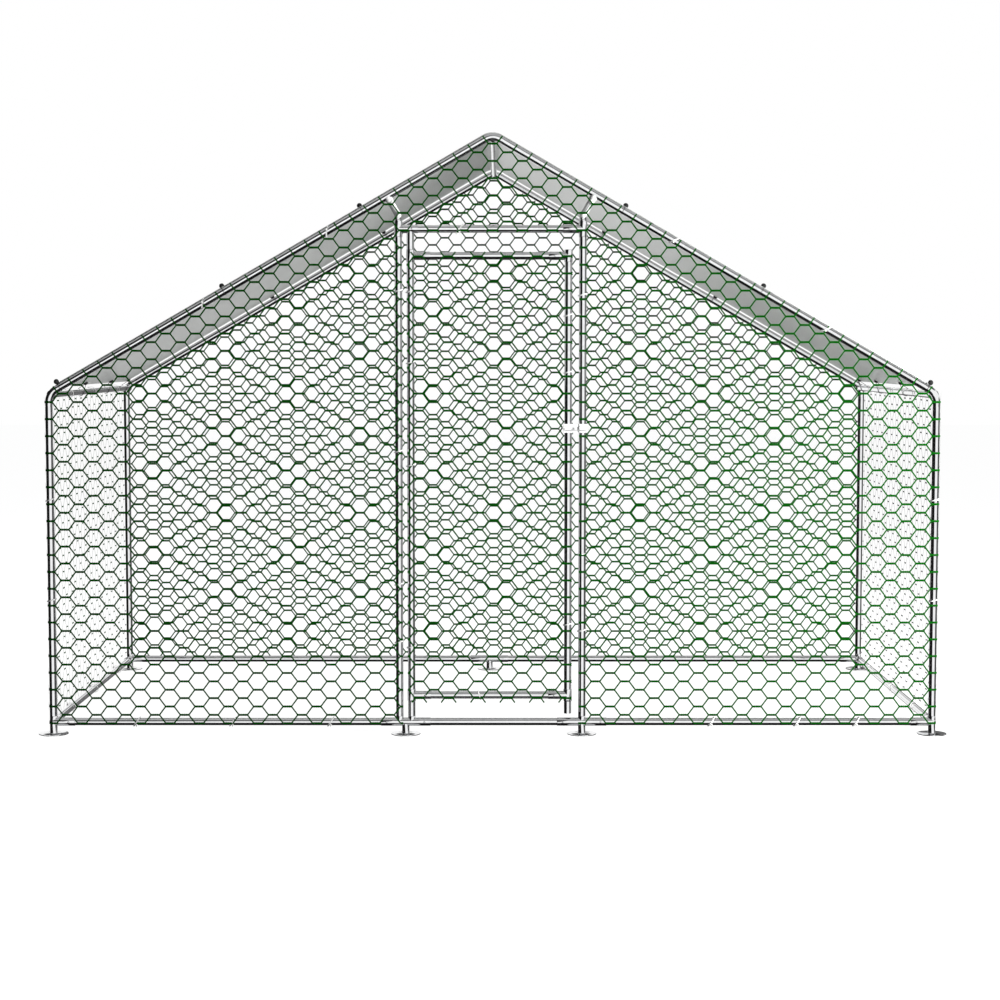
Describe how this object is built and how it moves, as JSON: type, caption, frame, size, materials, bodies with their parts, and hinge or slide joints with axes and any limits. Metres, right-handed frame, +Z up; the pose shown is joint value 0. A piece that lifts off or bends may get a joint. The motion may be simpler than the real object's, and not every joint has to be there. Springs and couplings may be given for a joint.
{
  "type": "metal chicken coop",
  "caption": "Walk-in poultry run: galvanised tube frame with a peaked cloth roof, hexagonal wire netting all round and a hinged door with a barrel latch.",
  "frame": {"origin": "on the ground under the middle of the footprint of the feet", "axes": "+X to the right along the ridge's cross direction seen from the door, +Y from the door side to the back, +Z up"},
  "size_m": [3.075, 1.56, 2.0188],
  "materials": {
    "galvanised_tube": "bright galvanised",
    "zinc_fittings": "pale zinc plate",
    "coated_wire": "dark green plastic coat",
    "cover_cloth": "grey coated woven cloth",
    "bungee_black": "black moulded plastic"
  },
  "bodies": {
    "frame": {"back_apex_elbow": "zinc_fittings", "back_centre_foot": "zinc_fittings", "back_left_base_rail": "galvanised_tube", "back_left_eave_elbow": "zinc_fittings", "back_left_foot": "zinc_fittings", "back_left_post": "galvanised_tube", "back_left_rafter": "galvanised_tube", "back_net": "coated_wire", "back_right_base_rail": "galvanised_tube", "back_right_eave_elbow": "zinc_fittings", "back_right_foot": "zinc_fittings", "back_right_post": "galvanised_tube", "back_right_rafter": "galvanised_tube", "bungee_balls": "bungee_black", "door_header": "galvanised_tube", "door_sill_rail": "galvanised_tube", "front_apex_elbow": "zinc_fittings", "front_left_base_rail": "galvanised_tube", "front_left_eave_elbow": "zinc_fittings", "front_left_foot": "zinc_fittings", "front_left_net": "coated_wire", "front_left_post": "galvanised_tube", "front_left_rafter": "galvanised_tube", "front_right_base_rail": "galvanised_tube", "front_right_eave_elbow": "zinc_fittings", "front_right_foot": "zinc_fittings", "front_right_net": "coated_wire", "front_right_post": "galvanised_tube", "front_right_rafter": "galvanised_tube", "gable_net": "coated_wire", "hinge_side_door_post": "galvanised_tube", "hinge_side_foot": "zinc_fittings", "hinge_side_header_tee": "zinc_fittings", "latch_keeper": "zinc_fittings", "latch_side_door_post": "galvanised_tube", "latch_side_foot": "zinc_fittings", "latch_side_header_tee": "zinc_fittings", "left_base_rail": "galvanised_tube", "left_eave_rail": "galvanised_tube", "left_rafter_tee": "zinc_fittings", "left_side_net": "coated_wire", "ridge_pole": "galvanised_tube", "right_base_rail": "galvanised_tube", "right_eave_rail": "galvanised_tube", "right_rafter_tee": "zinc_fittings", "right_side_net": "coated_wire", "roof_cover": "cover_cloth"},
    "door": {"hinge_stile": "galvanised_tube", "latch_stile": "galvanised_tube", "door_top_rail": "galvanised_tube", "door_bottom_rail": "galvanised_tube", "hinge_top_tee": "zinc_fittings", "hinge_bottom_tee": "zinc_fittings", "latch_top_tee": "zinc_fittings", "latch_bottom_tee": "zinc_fittings", "door_net": "coated_wire", "latch_barrel": "zinc_fittings"},
    "bolt": {"latch_bolt": "zinc_fittings"}
  },
  "joints": [
    {"name": "door_swing", "type": "hinge", "parent": "frame", "child": "door", "pos_m": [-0.2743, -0.73, 0], "axis": [0, 0, -1], "range_deg": [0, 110]},
    {"name": "latch_slide", "type": "slide", "parent": "door", "child": "bolt", "axis": [1, 0, 0], "range_m": [0, 0.024]}
  ]
}
